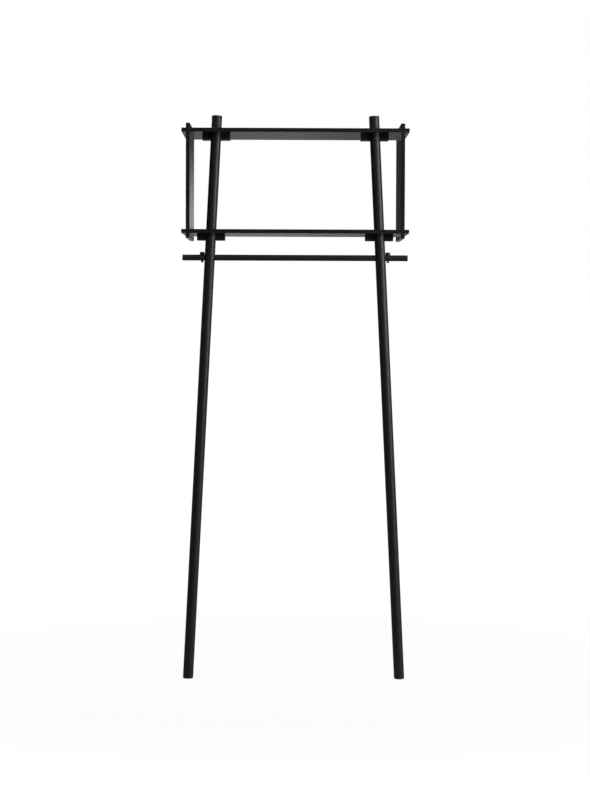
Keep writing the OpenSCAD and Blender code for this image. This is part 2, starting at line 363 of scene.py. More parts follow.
@dataclass(frozen=True)
class StainedWood:
    """Black-stained, open-grained wood under a thin satin oil, with its grain along local Z."""

    name: str
    stain: Triple = (0.0048, 0.0046, 0.0045)
    ridge: Triple = (0.0130, 0.0124, 0.0120)
    pith: Pair = (0.047, 0.021)
    ring_gap: float = 2.6 * MM
    ring_sway: float = 5.5 * MM
    sway_size: Triple = (0.03, 0.03, 0.34)
    fibre_size: Triple = (0.45 * MM, 0.45 * MM, 16 * MM)
    pore_size: Triple = (0.34 * MM, 0.34 * MM, 4.6 * MM)
    cloud_size: Triple = (0.02, 0.02, 0.11)
    satin: float = 0.40
    pore_depth: float = 0.06 * MM

    def material(self, origin: Vector, turn: Iterable[float]) -> Material:
        """Makes the material.

        Args:
            origin: a point on the middle of the piece.
            turn: Euler angles that lay Z along the grain.

        Returns:
            The material.
        """
        recipe = Recipe(self.name)
        coords = recipe.place(origin, turn)
        x, y, _ = recipe.split(coords)
        off_x = x - self.pith[0]
        off_y = y - self.pith[1]
        reach = (off_x * off_x + off_y * off_y) ** 0.5
        sway = recipe.noise(coords, self.sway_size, 3.0) * self.ring_sway
        phase = ((reach + sway) / self.ring_gap).math("FRACT")
        late = phase.ramp(0.35, 0.92) * phase.ramp(1.0, 0.94)
        early = 1 - late
        fibre = recipe.noise(coords, self.fibre_size, 3.0, 0.62)
        dashes = recipe.noise(coords, self.pore_size, 1.0, 0.4)
        pores = dashes.ramp(0.53, 0.66) * (early * 0.8 + 0.2)
        cloud = recipe.noise(coords, self.cloud_size)
        tone = late * 0.45 + fibre * 0.35 + cloud * 0.35 - pores * 0.75
        colour = recipe.blend(tone.ramp(0.05, 0.95), self.stain, self.ridge)
        gloss = self.satin + early * 0.07 + pores * 0.34 + (fibre - 0.5) * 0.12
        normal = recipe.bump(late * 0.30 + fibre * 0.30 - pores, self.pore_depth)
        plain = {"Specular IOR Level": 0.5, "Coat Weight": 0.08, "Coat Roughness": 0.28}
        return recipe.finish(plain, base_color=colour, roughness=gloss, normal=normal)


@dataclass(frozen=True)
class BoardLacquer:
    """Satin black lacquer over a smooth board, rubbed a little paler along its arrises."""

    name: str
    film: Triple = (0.0085, 0.0083, 0.0085)
    haze: Triple = (0.0190, 0.0184, 0.0182)
    rubbed: Triple = (0.020, 0.018, 0.017)
    rub_width: Pair = (1.1 * MM, 0.2 * MM)
    patch_size: float = 11 * MM
    grain_size: Triple = (0.9 * MM, 0.9 * MM, 42 * MM)
    pore_size: Triple = (0.5 * MM, 0.5 * MM, 7 * MM)
    peel_size: float = 1.6 * MM
    cloud_size: float = 90 * MM
    wipe_size: Triple = (0.012, 0.02, 0.16)
    satin: float = 0.15
    peel_depth: float = 0.004 * MM

    def material(self, low: Vector, high: Vector, grain: Along) -> Material:
        """Makes the material for one board.

        Args:
            low: the board's lowest corner.
            high: the board's highest corner.
            grain: the direction of the grain that shows faintly through the film.

        Returns:
            The material.
        """
        recipe = Recipe(self.name)
        middle = (low + high) / 2
        flat = recipe.place(middle)
        along = recipe.place(middle, grain.value)
        gaps = [size - abs(part) for part, size in zip(recipe.split(flat), (high - low) / 2)]
        smaller = gaps[0].math("MINIMUM", gaps[1])
        larger = gaps[0].math("MAXIMUM", gaps[1])
        arris = smaller.math("MAXIMUM", larger.math("MINIMUM", gaps[2]))
        patchy = recipe.noise(flat, self.patch_size, 4.0, 0.6)
        rub = arris.ramp(*self.rub_width) * patchy.ramp(0.50, 0.72)
        grains = recipe.noise(along, self.grain_size, 3.0, 0.55)
        pores = recipe.noise(along, self.pore_size, 1.0, 0.4).ramp(0.56, 0.68)
        peel = recipe.noise(flat, self.peel_size, 1.0)
        cloud = recipe.noise(flat, self.cloud_size, 3.0, 0.6)
        wipes = recipe.noise(along, self.wipe_size, 4.0, 0.65)
        tone = cloud.ramp(0.3, 0.7) * 0.35 + grains.ramp(0.3, 0.72) * 0.65 - pores * 0.4
        film = recipe.blend(tone.ramp(0.0, 1.0), self.film, self.haze)
        colour = recipe.blend(rub * 0.8, film, self.rubbed)
        gloss = self.satin + (wipes - 0.5) * 0.14 + (grains - 0.5) * 0.06 + pores * 0.12 + rub * 0.2
        normal = recipe.bump(peel * 0.4 + grains * 0.35 - pores * 0.6, self.peel_depth)
        plain = {"Specular IOR Level": 0.5}
        return recipe.finish(plain, base_color=colour, roughness=gloss, normal=normal)


@dataclass(frozen=True)
class CoatedSteel:
    """Black-coated steel with a fine, slightly pebbled skin."""

    name: str
    coat: Triple = (0.0070, 0.0070, 0.0072)
    thin: Triple = (0.0170, 0.0168, 0.0170)
    satin: float = 0.42
    pebble_size: float = 0.5 * MM
    pebble_depth: float = 0.012 * MM
    cloud_size: float = 6 * MM

    def material(self) -> Material:
        """Makes the material.

        Returns:
            The material.
        """
        recipe = Recipe(self.name)
        coords = recipe.place()
        cloud = recipe.noise(coords, self.cloud_size, 3.0)
        colour = recipe.blend(cloud.ramp(0.45, 0.8), self.coat, self.thin)
        gloss = self.satin + (cloud - 0.5) * 0.2
        normal = recipe.bump(recipe.noise(coords, self.pebble_size), self.pebble_depth)
        return recipe.finish({}, base_color=colour, roughness=gloss, normal=normal)


@dataclass(frozen=True)
class BareMetal:
    """A plain turned or plated metal with faint tool lines and dull spots."""

    name: str
    bright: Triple
    dull: Triple
    satin: float = 0.30
    line_size: Triple = (9 * MM, 9 * MM, 0.22 * MM)
    line_depth: float = 0.01 * MM
    spot_size: float = 2.4 * MM

    def material(self) -> Material:
        """Makes the material.

        Returns:
            The material.
        """
        recipe = Recipe(self.name)
        coords = recipe.place()
        lines = recipe.noise(coords, self.line_size)
        spots = recipe.noise(coords, self.spot_size, 4.0, 0.6)
        colour = recipe.blend(spots.ramp(0.42, 0.75), self.bright, self.dull)
        gloss = self.satin + spots.ramp(0.4, 0.8) * 0.22 + (lines - 0.5) * 0.1
        normal = recipe.bump(lines, self.line_depth)
        return recipe.finish({"Metallic": 1.0}, base_color=colour, roughness=gloss, normal=normal)


@dataclass(frozen=True)
class PadRubber:
    """Matt black rubber with a fine moulded skin and a little floor dust."""

    name: str
    skin: Triple = (0.011, 0.011, 0.011)
    dust: Triple = (0.045, 0.043, 0.040)
    matt: float = 0.62
    skin_size: float = 0.3 * MM
    skin_depth: float = 0.02 * MM
    dust_size: Triple = (3 * MM, 3 * MM, 1.5 * MM)

    def material(self) -> Material:
        """Makes the material.

        Returns:
            The material.
        """
        recipe = Recipe(self.name)
        coords = recipe.place()
        amount = recipe.noise(coords, self.dust_size, 4.0, 0.65).ramp(0.48, 0.78)
        colour = recipe.blend(amount * 0.6, self.skin, self.dust)
        gloss = self.matt + amount * 0.25
        normal = recipe.bump(recipe.noise(coords, self.skin_size), self.skin_depth)
        return recipe.finish({}, base_color=colour, roughness=gloss, normal=normal)


# ---------------------------------------------------------------- mesh tools


def lathe(outline: list[Pair], steps: int = PLAIN_TURN) -> Shape:
    """Spins an outline about Z into a closed solid.

    Args:
        outline: points of radius and height, from the bottom to the top.
        steps: how many steps make the full turn.

    Returns:
        The solid.
    """
    shape = bmesh.new()
    points = [shape.verts.new((radius, 0.0, height)) for radius, height in outline]
    edges = [shape.edges.new(pair) for pair in zip(points, points[1:])]
    bmesh.ops.spin(shape, geom=points + edges, cent=(0, 0, 0), axis=(0, 0, 1), angle=math.tau,
                   steps=steps, use_merge=True)
    bmesh.ops.remove_doubles(shape, verts=shape.verts, dist=SAME_POINT)
    bmesh.ops.recalc_face_normals(shape, faces=shape.faces)
    return shape


def rounding(radius: float, height: float, reach: float, up: bool, steps: int = 5) -> list[Pair]:
    """Points of a quarter round at the rim of a turned end.

    Args:
        radius: the bar's radius.
        height: the height of the end face.
        reach: the round's radius.
        up: True for a top end.
        steps: how many steps make the quarter.

    Returns:
        Points of radius and height, from the bottom to the top.
    """
    sign = 1 if up else -1
    turns = [math.pi / 2 * step / steps for step in range(steps + 1)]
    centre = height - sign * reach
    inner = radius - reach
    arc = [(inner + reach * math.cos(turn), centre + sign * reach * math.sin(turn)) for turn in turns]
    return arc if up else arc[::-1]


def turned_bar(radius: float, bottom: float, top: float, low_round: float, high_round: float,
               steps: int = FINE_TURN) -> Shape:
    """A round bar along Z with rounded ends.

    Args:
        radius: the bar's radius.
        bottom: height of its lower end.
        top: height of its upper end.
        low_round: the lower rim's round.
        high_round: the upper rim's round.
        steps: how many steps make the full turn.

    Returns:
        The bar.
    """
    low_rim = rounding(radius, bottom, low_round, False)
    high_rim = rounding(radius, top, high_round, True)
    return lathe([(0.0, bottom), *low_rim, *high_rim, (0.0, top)], steps)


def plain_box(low: Vector, high: Vector) -> Shape:
    """A box.

    Args:
        low: the lowest corner.
        high: the highest corner.

    Returns:
        The box.
    """
    shape = bmesh.new()
    bmesh.ops.create_cube(shape, size=1.0)
    bmesh.ops.scale(shape, vec=high - low, verts=shape.verts)
    bmesh.ops.translate(shape, vec=(low + high) / 2, verts=shape.verts)
    return shape


def round_edges(shape: Shape, edges: Sequence[bmesh.types.BMEdge], reach: float, segments: int) -> Shape:
    """Rounds some edges of a shape.

    Args:
        shape: the shape.
        edges: the edges.
        reach: the round's radius.
        segments: how many faces make the round.

    Returns:
        The same shape.
    """
    bmesh.ops.bevel(shape, geom=edges, offset=reach, offset_type="OFFSET", segments=segments,
                    profile=0.5, affect="EDGES", material=-1)
    return shape


def edges_at(shape: Shape, **places: float) -> list[bmesh.types.BMEdge]:
    """Finds the edges that lie wholly at some coordinates.

    Args:
        shape: the shape.
        places: axis to coordinate, such as y=0.1.

    Returns:
        The edges.
    """
    def lies_there(vert: bmesh.types.BMVert) -> bool:
        """Whether a point has all the coordinates."""
        return all(abs(getattr(vert.co, axis) - place) < SAME_PLACE for axis, place in places.items())

    return [edge for edge in shape.edges if all(lies_there(vert) for vert in edge.verts)]


def round_bore(start: Vector, end: Vector, radius: float, steps: int = PLAIN_TURN) -> Shape:
    """A plain cylinder between two points, for cutting a bore.

    Args:
        start: the middle of one end.
        end: the middle of the other end.
        radius: its radius.
        steps: how many steps make the full turn.

    Returns:
        The cylinder.
    """
    shape = bmesh.new()
    way = end - start
    place = Matrix.Translation((start + end) / 2) @ way.to_track_quat("Z", "Y").to_matrix().to_4x4()
    bmesh.ops.create_cone(shape, cap_ends=True, segments=steps, radius1=radius, radius2=radius,
                          depth=way.length, matrix=place)
    return shape


def merged(shapes: Iterable[Shape]) -> Shape:
    """Puts several solids into one mesh and frees them.

    Args:
        shapes: the solids.

    Returns:
        All of them as one.
    """
    whole = bmesh.new()
    for shape in shapes:
        mesh = bpy.data.meshes.new("part")
        shape.to_mesh(mesh)
        shape.free()
        whole.from_mesh(mesh)
        bpy.data.meshes.remove(mesh)
    return whole


def moved(shape: Shape, place: Matrix) -> Shape:
    """Places a shape by a matrix."""
    bmesh.ops.transform(shape, matrix=place, verts=shape.verts)
    return shape


def to_object(shape: Shape, name: str) -> Piece:
    """Makes an object at the origin.

    Args:
        shape: its shape, which is freed.
        name: its name.

    Returns:
        The object.
    """
    mesh = bpy.data.meshes.new(name)
    shape.to_mesh(mesh)
    shape.free()
    piece = bpy.data.objects.new(name, mesh)
    bpy.context.scene.collection.objects.link(piece)
    return piece


def scrap(piece: Piece) -> None:
    """Deletes an object together with its mesh.

    Args:
        piece: the object.
    """
    mesh = piece.data
    bpy.data.objects.remove(piece)
    bpy.data.meshes.remove(mesh)


def carve(piece: Piece, cutters: Iterable[Shape]) -> None:
    """Cuts holes and slots into a piece and deletes the cutters.

    Args:
        piece: the piece.
        cutters: closed solids, whose space is taken out of the piece.
    """
    tools = []
    for number, shape in enumerate(cutters):
        tool = to_object(shape, f"{piece.name}_cutter_{number}")
        cut = piece.modifiers.new(tool.name, "BOOLEAN")
        cut.operation = "DIFFERENCE"
        cut.solver = "EXACT"
        cut.object = tool
        tools.append(tool)
    graph = bpy.context.evaluated_depsgraph_get()
    cut_mesh = bpy.data.meshes.new_from_object(piece.evaluated_get(graph))
    piece.modifiers.clear()
    old = piece.data
    piece.data = cut_mesh
    cut_mesh.name = piece.name
    bpy.data.meshes.remove(old)
    for tool in tools:
        scrap(tool)


def carved(shape: Shape, cutters: Iterable[Shape]) -> Shape:
    """Cuts holes and slots into a shape.

    Args:
        shape: the shape, which is used up.
        cutters: closed solids, whose space is taken out of it.

    Returns:
        The cut shape.
    """
    piece = to_object(shape, "blank")
    carve(piece, cutters)
    result = bmesh.new()
    result.from_mesh(piece.data)
    scrap(piece)
    return result


def cross_slotted(screw: Shape, radius: float, height: float) -> Shape:
    """Cuts a cross slot into the head of a screw that stands on Z.

    Args:
        screw: the screw, which is used up.
        radius: the head's radius.
        height: the height of the head's face.

    Returns:
        The slotted screw.
    """
    reach = radius * SLOT_REACH
    half = radius * SLOT_HALF_WIDTH
    depth = radius * SLOT_DEPTH
    face = UP * height
    corners = (Vector((reach, half, depth)), Vector((half, reach, depth)))
    return carved(screw, [plain_box(face - corner, face + corner) for corner in corners])


def make(shape: Shape, node: str, material: Material, cutters: Sequence[Shape] = (),
         body: Body = Body.STAND, weighted: bool = True) -> None:
    """Makes a finished piece: cuts it, shades it, gives it its finish and ties it to the frame.

    Args:
        shape: its shape.
        node: the frame's node that it stands for, which gives it its name.
        material: its finish.
        cutters: closed solids, whose space is taken out of it.
        body: the body that it moves with.
        weighted: True to keep flat faces flat beside rounded edges.
    """
    piece = to_object(shape, node)
    if cutters:
        carve(piece, cutters)
    mesh = piece.data
    skin = bmesh.new()
    skin.from_mesh(mesh)
    bmesh.ops.remove_doubles(skin, verts=skin.verts, dist=WELD)
    for face in skin.faces:
        face.smooth = True
    for edge in skin.edges:
        edge.smooth = len(edge.link_faces) == 2 and edge.calc_face_angle(math.pi) < SHARP
    skin.to_mesh(mesh)
    skin.free()
    mesh.materials.clear()
    mesh.materials.append(material)
    if weighted:
        keep = piece.modifiers.new("flat faces", "WEIGHTED_NORMAL")
        keep.keep_sharp = True
        keep.weight = FLAT_FACE_WEIGHT
    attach(piece, body.value)
    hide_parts(node)
    log.info("%s rides on %s, %d faces", piece.name, body.value, len(mesh.polygons))


def node_box(node: str) -> tuple[Vector, Vector]:
    """The lowest and highest corners of a node at rest."""
    low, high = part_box(node)
    return Vector(low), Vector(high)


def node_middle(node: str) -> Vector:
    """The middle of a node's box at rest."""
    low, high = node_box(node)
    return (low + high) / 2


def block_front(node: str) -> Vector:
    """The middle of a block's front face, which lies on its leg's axis."""
    middle = node_middle(node)
    return Vector((middle.x, node_box(node)[0].y, middle.z))


# ---------------------------------------------------------------- the stand


@dataclass
class Pole:
    """The axis of one leg, read from its foot pad and its top block."""

    side: Side
    radius: float = 15.5 * MM
    foot: Vector = field(init=False)
    way: Vector = field(init=False)

    def __post_init__(self) -> None:
        """Reads two points of the axis from the frame."""
        pad = f"{self.side.word}_foot_pad"
        middle = node_middle(pad)
        self.foot = Vector((middle.x, middle.y, node_box(pad)[1].z))
        self.way = (block_front(f"top_{self.side.word}_block") - self.foot).normalized()

    @property
    def turn(self) -> Triple:
        """Euler angles that lay Z along the leg."""
        return (-math.asin(self.way.y), math.atan2(self.way.x, self.way.z), 0.0)

    @property
    def place(self) -> Matrix:
        """The matrix from the leg's own frame, with the foot at zero, to the stand's."""
        return Matrix.Translation(self.foot) @ Euler(self.turn).to_matrix().to_4x4()

    @property
    def tilt(self) -> float:
        """The sine of the leg's angle from the upright."""
        return math.sqrt(1 - self.way.z ** 2)

    def along(self, height: float) -> float:
        """Distance up the leg to a height above the floor."""
        return (height - self.foot.z) / self.way.z

    def at(self, height: float) -> Vector:
        """The point of the axis at a height above the floor."""
        return self.foot + self.way * self.along(height)


@dataclass
class Box:
    """The four lap-jointed boards."""

    poles: dict[Side, Pole]
    edge_round: float = 0.8 * MM
    edge_faces: int = 4
    lap_play: float = 0.1 * MM
    leg_play: float = 0.3 * MM
    past: float = 5 * MM

    def build(self) -> None:
        """Makes both shelves and both side panels."""
        self.shelf("top_shelf")
        self.shelf("bottom_shelf")
        for side in Side:
            self.panel(f"{side.word}_side_panel")

    def shelf(self, node: str) -> None:
        """A shelf with lap slots from the front and slanting leg holes.

        Args:
            node: the shelf's node.
        """
        low, high = node_box(node)
        cutters = []
        for side in Side:
            cutters.append(self.front_slot(side, low, high))
            cutters.append(self.leg_hole(self.poles[side], low.z, high.z))
        self.board(node, cutters, Along.X)

    def front_slot(self, side: Side, low: Vector, high: Vector) -> Shape:
        """The slot in a shelf that takes a side panel, open to the front.

        Args:
            side: the panel's side.
            low: the shelf's lowest corner.
            high: the shelf's highest corner.

        Returns:
            The slot.
        """
        panel_low, panel_high = node_box(f"{side.word}_side_panel")
        start = Vector((panel_low.x - self.lap_play, low.y - self.past, low.z - self.past))
        end_y = (low.y + high.y) / 2 + self.lap_play
        end = Vector((panel_high.x + self.lap_play, end_y, high.z + self.past))
        return plain_box(start, end)

    def leg_hole(self, pole: Pole, bottom: float, top: float) -> Shape:
        """The slanting hole in a shelf that a leg passes through.

        Args:
            pole: the leg's axis.
            bottom: the height of the shelf's underside.
            top: the height of its upper face.

        Returns:
            The hole.
        """
        reach = 2 * (top - bottom)
        start = pole.at(bottom - reach)
        end = pole.at(top + reach)
        return round_bore(start, end, pole.radius + self.leg_play, FINE_TURN)

    def panel(self, node: str) -> None:
        """A side panel with a lap slot for each shelf, open to the wall.

        Args:
            node: the panel's node.
        """
        low, high = node_box(node)
        start_y = (low.y + high.y) / 2 - self.lap_play
        cutters = []
        for shelf in ("top_shelf", "bottom_shelf"):
            shelf_low, shelf_high = node_box(shelf)
            start = Vector((low.x - self.past, start_y, shelf_low.z - self.lap_play))
            end = Vector((high.x + self.past, high.y + self.past, shelf_high.z + self.lap_play))
            cutters.append(plain_box(start, end))
        self.board(node, cutters, Along.Z)

    def board(self, node: str, cutters: list[Shape], grain: Along) -> None:
        """Makes one lacquered board with rounded edges.

        Args:
            node: the board's node.
            cutters: its slots and holes.
            grain: the direction of its grain.
        """
        low, high = node_box(node)
        blank = plain_box(low, high)
        round_edges(blank, blank.edges, self.edge_round, self.edge_faces)
        lacquer = BoardLacquer(f"lacquer_{node}").material(low, high, grain)
        make(blank, node, lacquer, cutters)


@dataclass
class Legs:
    """Both legs, each in two lengths, with their foot pads."""

    poles: dict[Side, Pole]
    top_round: float = 1.5 * MM
    seam_round: float = 1.2 * MM
    pad_round: float = 0.5 * MM
    pad_turn: int = 64
    fit: float = 0.1 * MM
    stud_radius: float = 5 * MM
    sleeve_radius: float = 7 * MM
    stud_past: float = 2 * MM
    insert_radius: float = 4.5 * MM
    insert_start: float = 2.5 * MM

    def build(self) -> None:
        """Makes both legs and both pads."""
        for side, pole in self.poles.items():
            wood = StainedWood(f"stain_{side.word}_leg", pith=(0.047 * side.value, 0.021))
            stain = wood.material(pole.foot, pole.turn)
            seam = pole.along(node_middle(f"{side.word}_leg_stud").z)
            self.upper(pole, seam, stain)
            self.lower(pole, seam, stain)
            self.pad(side)

    def stud_bore(self, pole: Pole, kind: str, radius: float) -> Shape:
        """The bore round a stud or a sleeve, which lie on the leg's axis.

        Args:
            pole: the leg's axis.
            kind: the end of the node's name.
            radius: the stud's or sleeve's radius.

        Returns:
            The bore.
        """
        low, high = node_box(f"{pole.side.word}_{kind}")
        inset = radius * pole.tilt
        return round_bore(pole.at(low.z + inset), pole.at(high.z - inset + self.stud_past), radius + self.fit)

    def insert_bores(self, pole: Pole) -> list[Shape]:
        """The level bores in a leg for the threaded inserts of its two blocks.

        Args:
            pole: the leg's axis.

        Returns:
            The bores.
        """
        bores = []
        for tier in ("top", "bottom"):
            centre = block_front(f"{tier}_{pole.side.word}_block")
            start = centre + BACK * self.insert_start
            end = centre + BACK * (2 * pole.radius)
            bores.append(round_bore(start, end, self.insert_radius + self.fit))
        return bores

    def upper(self, pole: Pole, seam: float, stain: Material) -> None:
        """The upper length, from the seam to above the top shelf.

        Args:
            pole: the leg's axis.
            seam: distance up the leg to the seam.
            stain: the wood's finish.
        """
        node = f"{pole.side.word}_upper_leg"
        top = pole.along(node_box(node)[1].z - (pole.radius - self.top_round) * pole.tilt)
        bar = turned_bar(pole.radius, seam, top, self.seam_round, self.top_round)
        rod_low, rod_high = node_box("hanging_rod")
        rod_middle = (rod_low + rod_high) / 2
        rod_radius = (rod_high.z - rod_low.z) / 2
        across = Vector((3 * pole.radius, 0, 0))
        centre = Vector((pole.at(rod_middle.z).x, rod_middle.y, rod_middle.z))
        bores = [round_bore(centre - across, centre + across, rod_radius + self.fit, FINE_TURN)]
        bores.append(self.stud_bore(pole, "leg_stud", self.stud_radius))
        make(moved(bar, pole.place), node, stain, bores + self.insert_bores(pole))

    def lower(self, pole: Pole, seam: float, stain: Material) -> None:
        """The lower length, cut level at its foot.

        Args:
            pole: the leg's axis.
            seam: distance up the leg to the seam.
            stain: the wood's finish.
        """
        start = -2 * pole.radius
        bar = moved(turned_bar(pole.radius, start, seam, self.seam_round, self.seam_round), pole.place)
        cut = bmesh.ops.bisect_plane(bar, geom=[*bar.verts, *bar.edges, *bar.faces],
                                     plane_co=pole.foot, plane_no=(0, 0, 1), clear_inner=True)
        rim = [part for part in cut["geom_cut"] if isinstance(part, bmesh.types.BMEdge)]
        bmesh.ops.contextual_create(bar, geom=rim)
        bmesh.ops.recalc_face_normals(bar, faces=bar.faces)
        bore = self.stud_bore(pole, "stud_sleeve", self.sleeve_radius)
        make(bar, f"{pole.side.word}_lower_leg", stain, [bore])

    def pad(self, side: Side) -> None:
        """The rubber pad under a foot.

        Args:
            side: the foot's side.
        """
        node = f"{side.word}_foot_pad"
        low, high = node_box(node)
        middle = (low + high) / 2
        disc = turned_bar((high.x - low.x) / 2, low.z, high.z, self.pad_round, self.pad_round / 2,
                          self.pad_turn)
        disc = moved(disc, Matrix.Translation((middle.x, middle.y, 0)))
        make(disc, node, PadRubber(f"rubber_{node}").material())


@dataclass
class Blocks:
    """The four blocks behind the legs, with their bolts and wood screws."""

    poles: dict[Side, Pole]
    edge_round: float = 1.0 * MM
    edge_faces: int = 3
    leg_play: float = 0.3 * MM
    fit: float = 0.1 * MM
    bolt_radius: float = 3 * MM
    bolt_edge: float = 0.5 * MM
    bolt_head_radius: float = 5 * MM
    bolt_head_height: float = 6 * MM
    socket_depth: float = 3 * MM
    socket_sides: int = 6
    head_room: float = 0.5 * MM
    screw_radius: float = 2 * MM
    screw_bite: float = 8 * MM
    screw_head_radius: float = 4 * MM
    screw_head_height: float = 2.6 * MM
    screw_head_rim: float = 0.15 * MM
    screw_side: float = 13 * MM
    screw_rear: float = 22 * MM
    sink_past: float = 1 * MM

    @property
    def bolt_seat(self) -> float:
        """Distance from a leg's axis back to the seat of its bolt's head."""
        rear = node_box("leg_bolts")[1].y - self.bolt_head_height
        return rear - node_box("top_left_block")[0].y

    def build(self) -> None:
        """Makes the blocks and what fastens them."""
        screws = []
        bolts = []
        for tier in ("top", "bottom"):
            for side in Side:
                node = f"{tier}_{side.word}_block"
                self.block(node, self.poles[side])
                screws += [self.screw(spot) for spot in self.screw_spots(node)]
                bolts.append(self.bolt(node))
        zinc = BareMetal("zinc_block_screws", bright=(0.62, 0.63, 0.64), dull=(0.40, 0.41, 0.42), satin=0.32)
        make(merged(screws), "block_screws", zinc.material(), weighted=False)
        steel = CoatedSteel("steel_leg_bolts").material()
        make(merged(bolts), "leg_bolts", steel, weighted=False)

    def screw_spots(self, node: str) -> list[Vector]:
        """The centres of a block's wood screws, on its underside.

        Args:
            node: the block's node.

        Returns:
            The two centres.
        """
        low, high = node_box(node)
        rear = high.y - self.screw_rear
        return [Vector((x, rear, low.z)) for x in (low.x + self.screw_side, high.x - self.screw_side)]

    def block(self, node: str, pole: Pole) -> None:
        """One block, with its groove, bolt hole and countersunk screw holes.

        Args:
            node: the block's node.
            pole: the leg that lies in its groove.
        """
        low, high = node_box(node)
        blank = plain_box(low, high)
        round_edges(blank, blank.edges, self.edge_round, self.edge_faces)
        height = high.z - low.z
        axis = block_front(node)
        rear = Vector((axis.x, high.y + height, axis.z))
        seat = axis + BACK * self.bolt_seat
        groove = pole.radius + self.leg_play
        cutters = [
            round_bore(pole.at(low.z - height), pole.at(high.z + height), groove, FINE_TURN),
            round_bore(axis, rear, self.bolt_radius + self.fit),
            round_bore(seat, rear, self.bolt_head_radius + self.head_room),
        ]
        for spot in self.screw_spots(node):
            bottom = spot - UP * height
            top = spot + UP * (2 * height)
            cutters.append(round_bore(bottom, top, self.screw_radius + self.fit))
            cutters.append(moved(self.countersink(), Matrix.Translation(spot)))
        wood = StainedWood(f"stain_{node}", pith=(0.03, 0.055), ring_gap=3.4 * MM, satin=0.38)
        stain = wood.material((low + high) / 2, Along.X.value)
        make(blank, node, stain, cutters)

    def countersink(self) -> Shape:
        """The cone that a screw's head sinks into, from just under the face.

        Returns:
            The cone, with the face at zero.
        """
        wide = self.screw_head_radius + self.fit
        narrow = self.screw_radius + self.fit
        start = -self.sink_past
        depth = self.screw_head_height
        return lathe([(0.0, start), (wide, start), (wide, 0.0), (narrow, depth), (0.0, depth)])

    def screw(self, spot: Vector) -> Shape:
        """A countersunk wood screw, point up, with a cross slot in its head.

        Args:
            spot: the middle of its head's face.

        Returns:
            The screw.
        """
        low, high = node_box("top_left_block")
        reach = high.z - low.z + self.screw_bite
        radius = self.screw_radius
        head = self.screw_head_radius
        rim = self.screw_head_rim
        shape = lathe([
            (0.0, 0.0), (head - rim, 0.0), (head, rim), (radius, self.screw_head_height),
            (radius, reach - radius), (radius * POINT_SHARE, reach), (0.0, reach),
        ])
        return moved(cross_slotted(shape, head, 0.0), Matrix.Translation(spot))

    def bolt(self, node: str) -> Shape:
        """A socket bolt whose head lies in a block's counterbore.

        Args:
            node: the block's node.

        Returns:
            The bolt.
        """
        start = node_box("leg_bolts")[0].y - node_box("bottom_left_block")[0].y
        seat = self.bolt_seat
        top = seat + self.bolt_head_height
        edge = self.bolt_edge
        radius = self.bolt_radius
        head = self.bolt_head_radius
        shape = lathe([
            (0.0, start), (radius - edge, start), (radius, start + edge), (radius, seat), (head, seat),
            (head, top - edge), (head - edge, top), (0.0, top),
        ])
        depth = UP * self.socket_depth
        face = UP * top
        shape = carved(shape, [round_bore(face - depth, face + depth, radius, self.socket_sides)])
        return moved(shape, Matrix.Translation(block_front(node)) @ Matrix.Rotation(-math.pi / 2, 4, "X"))


@dataclass
class HangingRod:
    """The rod and the headed pins that lock it."""

    end_round: float = 1.0 * MM
    pin_fit: float = 0.1 * MM
    pin_radius: float = 3.75 * MM
    pin_turn: int = 64
    tip_round: float = 1.2 * MM
    under_round: float = 0.4 * MM
    head_round: float = 1.4 * MM

    def build(self) -> None:
        """Makes the rod and both pins."""
        low, high = node_box("hanging_rod")
        middle = (low + high) / 2
        radius = (high.z - low.z) / 2
        half = (high.x - low.x) / 2
        bar = turned_bar(radius, -half, half, self.end_round, self.end_round)
        bar = moved(bar, Matrix.Translation(middle) @ Matrix.Rotation(math.pi / 2, 4, "Y"))
        bores = []
        for side in Side:
            spot = node_middle(f"{side.word}_locking_pin")
            above = Vector((spot.x, spot.y, middle.z + 2 * radius))
            below = Vector((spot.x, spot.y, middle.z - 2 * radius))
            bores.append(round_bore(below, above, self.pin_radius + self.pin_fit))
        wood = StainedWood("stain_hanging_rod", pith=(0.036, -0.018), ring_gap=2.2 * MM, satin=0.46)
        stain = wood.material(middle, Along.X.value)
        make(bar, "hanging_rod", stain, bores, Body.ROD)
        self.pin(Side.LEFT, Body.LEFT_PIN)
        self.pin(Side.RIGHT, Body.RIGHT_PIN)

    def pin(self, side: Side, body: Body) -> None:
        """A locking pin with a softly domed head and a rounded tip.

        Args:
            side: the side that it is on.
            body: the body that it moves with.
        """
        node = f"{side.word}_locking_pin"
        low, high = node_box(node)
        middle = (low + high) / 2
        radius = (high.x - low.x) / 2
        seat = node_box("hanging_rod")[1].z
        tip = rounding(self.pin_radius, low.z, self.tip_round, False)
        under = [(self.pin_radius, seat)] + rounding(radius, seat, self.under_round, False, 3)
        head = rounding(radius, high.z, self.head_round, True)
        shape = lathe([(0.0, low.z), *tip, *under, *head, (0.0, high.z)], self.pin_turn)
        shape = moved(shape, Matrix.Translation((middle.x, middle.y, 0)))
        make(shape, node, CoatedSteel(f"steel_{node}").material(), body=body)


